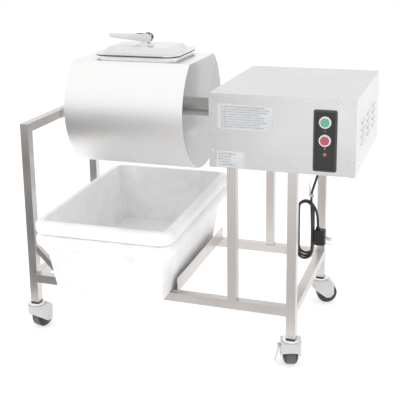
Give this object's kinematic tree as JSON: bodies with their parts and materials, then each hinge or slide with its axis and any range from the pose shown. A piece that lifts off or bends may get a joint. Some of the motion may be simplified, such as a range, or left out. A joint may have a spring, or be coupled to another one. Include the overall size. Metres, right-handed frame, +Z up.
{
  "type": "marinating tumbler",
  "caption": "Meat tumbler with a flat-topped steel drum and clamped lid on a castored square-tube frame, gear motor housing, and nested white tubs below",
  "frame": {"origin": "middle of the footprint, on the floor, without the mains lead", "axes": "+X along the drum's axis from the tub side to the motor housing, +Y from front to back, +Z up"},
  "size_m": [0.972, 0.6289, 0.8765],
  "materials": {
    "brushed_frame": "satin",
    "housing_sheet": "satin",
    "drum_steel": "satin",
    "mirror_steel": "polished",
    "bright_hardware": "polished",
    "machined_steel": "machined",
    "cast_bronze": "machined",
    "gear_casting": "cast",
    "motor_paint": "satin",
    "seal_rubber": "matte",
    "white_tub": "satin",
    "black_plastic": "satin",
    "dark_bezel": "satin",
    "ring_white": "gloss",
    "green_cap": "gloss",
    "red_cap": "gloss",
    "lamp_lens": "gloss",
    "castor_shell": "satin",
    "castor_wheel": "matte",
    "grey_case": "satin",
    "cord_black": "satin"
  },
  "bodies": {
    "frame": {"left_legs": "brushed_frame", "right_legs": "brushed_frame", "middle_legs": "brushed_frame", "long_rails": "brushed_frame", "side_rails": "brushed_frame", "drum_rail": "brushed_frame", "corner_braces": "brushed_frame", "tub_runners": "brushed_frame", "bearing_bracket": "machined_steel", "bracket_bolts": "bright_hardware", "stub_bearing": "cast_bronze", "housing_cover": "housing_sheet", "cover_screws": "bright_hardware", "front_panel": "housing_sheet", "rear_panel": "housing_sheet", "base_pan": "housing_sheet", "control_bezel": "dark_bezel", "control_plate": "black_plastic", "button_rings": "ring_white", "pilot_lamp": "lamp_lens", "drive_plate": "machined_steel", "gearbox": "gear_casting", "motor": "motor_paint", "run_capacitor": "grey_case", "start_relay": "black_plastic", "leg_plugs": "black_plastic", "castor_stems": "bright_hardware", "cord_gland": "black_plastic", "mains_lead": "cord_black", "lead_hank": "cord_black", "lead_tail": "cord_black", "mains_plug": "black_plastic"},
    "drum": {"drum_shell": "drum_steel", "drum_ends": "mirror_steel", "mixing_paddles": "drum_steel", "drive_hub": "machined_steel", "drive_shaft": "machined_steel", "stub_shaft": "machined_steel"},
    "lid": {"lid": "mirror_steel", "lid_gasket": "seal_rubber", "lever_bracket": "bright_hardware", "lever_rivets": "bright_hardware"},
    "lever": {"cam_lever": "bright_hardware", "draw_pin": "bright_hardware"},
    "draw_bolt": {"draw_bolt": "bright_hardware", "pressure_plate": "drum_steel"},
    "start_button": {"start_button": "green_cap"},
    "stop_button": {"stop_button": "red_cap"},
    "tub_lower": {"tub_lower": "white_tub"},
    "tub_upper": {"tub_upper": "white_tub"},
    "brake": {"castor_brake_front_right": "castor_shell"},
    "castor_front_left": {"castor_hood_front_left": "castor_shell"},
    "wheel_front_left": {"castor_wheel_front_left": "castor_wheel"},
    "castor_rear_left": {"castor_hood_rear_left": "castor_shell"},
    "wheel_rear_left": {"castor_wheel_rear_left": "castor_wheel"},
    "castor_front_right": {"castor_hood_front_right": "castor_shell"},
    "wheel_front_right": {"castor_wheel_front_right": "castor_wheel"},
    "castor_rear_right": {"castor_hood_rear_right": "castor_shell"},
    "wheel_rear_right": {"castor_wheel_rear_right": "castor_wheel"}
  },
  "joints": [
    {"name": "drum_turn", "type": "hinge", "parent": "frame", "child": "drum", "pos_m": [-0.16986, 0.04831, 0.666], "axis": [1, 0, 0], "continuous": true},
    {"name": "lid_lift", "type": "slide", "parent": "drum", "child": "lid", "axis": [0, 0, 1], "range_m": [0, 0.04]},
    {"name": "cam_turn", "type": "hinge", "parent": "lid", "child": "lever", "pos_m": [-0.17556, 0.04831, 0.8635], "axis": [0, 1, 0], "range_deg": [0, 100]},
    {"name": "bolt_drop", "type": "slide", "parent": "lid", "child": "draw_bolt", "axis": [0, 0, -1], "range_m": [0, 0.0077]},
    {"name": "start_press", "type": "slide", "parent": "frame", "child": "start_button", "axis": [0, 1, 0], "range_m": [0, 0.003], "stiffness_N_per_m": 900},
    {"name": "stop_press", "type": "slide", "parent": "frame", "child": "stop_button", "axis": [0, 1, 0], "range_m": [0, 0.003], "stiffness_N_per_m": 900},
    {"name": "tub_slide", "type": "slide", "parent": "frame", "child": "tub_lower", "axis": [0, -1, 0], "range_m": [0, 0.3]},
    {"name": "tub_lift", "type": "slide", "parent": "tub_lower", "child": "tub_upper", "axis": [0, 0, 1], "range_m": [0, 0.045]},
    {"name": "swivel_front_left", "type": "hinge", "parent": "frame", "child": "castor_front_left", "pos_m": [-0.45736, -0.16669, 0.08], "axis": [0, 0, 1], "continuous": true},
    {"name": "roll_front_left", "type": "hinge", "parent": "castor_front_left", "child": "wheel_front_left", "pos_m": [-0.45219, -0.14737, 0.0315], "axis": [-0.9659, 0.2588, 0], "continuous": true},
    {"name": "swivel_rear_left", "type": "hinge", "parent": "frame", "child": "castor_rear_left", "pos_m": [-0.45736, 0.26331, 0.08], "axis": [0, 0, 1], "continuous": true},
    {"name": "roll_rear_left", "type": "hinge", "parent": "castor_rear_left", "child": "wheel_rear_left", "pos_m": [-0.45052, 0.2821, 0.0315], "axis": [-0.9397, 0.342, 0], "continuous": true},
    {"name": "swivel_front_right", "type": "hinge", "parent": "frame", "child": "castor_front_right", "pos_m": [0.32264, -0.16669, 0.08], "axis": [0, 0, 1], "continuous": true},
    {"name": "roll_front_right", "type": "hinge", "parent": "castor_front_right", "child": "wheel_front_right", "pos_m": [0.31679, -0.14756, 0.0315], "axis": [-0.9563, -0.2924, 0], "continuous": true},
    {"name": "swivel_rear_right", "type": "hinge", "parent": "frame", "child": "castor_rear_right", "pos_m": [0.32264, 0.26331, 0.08], "axis": [0, 0, 1], "continuous": true},
    {"name": "roll_rear_right", "type": "hinge", "parent": "castor_rear_right", "child": "wheel_rear_right", "pos_m": [0.34076, 0.27176, 0.0315], "axis": [-0.4226, 0.9063, 0], "continuous": true},
    {"name": "brake_rock", "type": "hinge", "parent": "castor_front_right", "child": "brake", "pos_m": [0.28874, -0.16869, 0.058], "axis": [-0.2924, 0.9563, 0], "range_deg": [0, 8]}
  ],
  "couplings": [
    {"joint": "bolt_drop", "follows": "cam_turn", "m_per_rad": 0.00441}
  ]
}
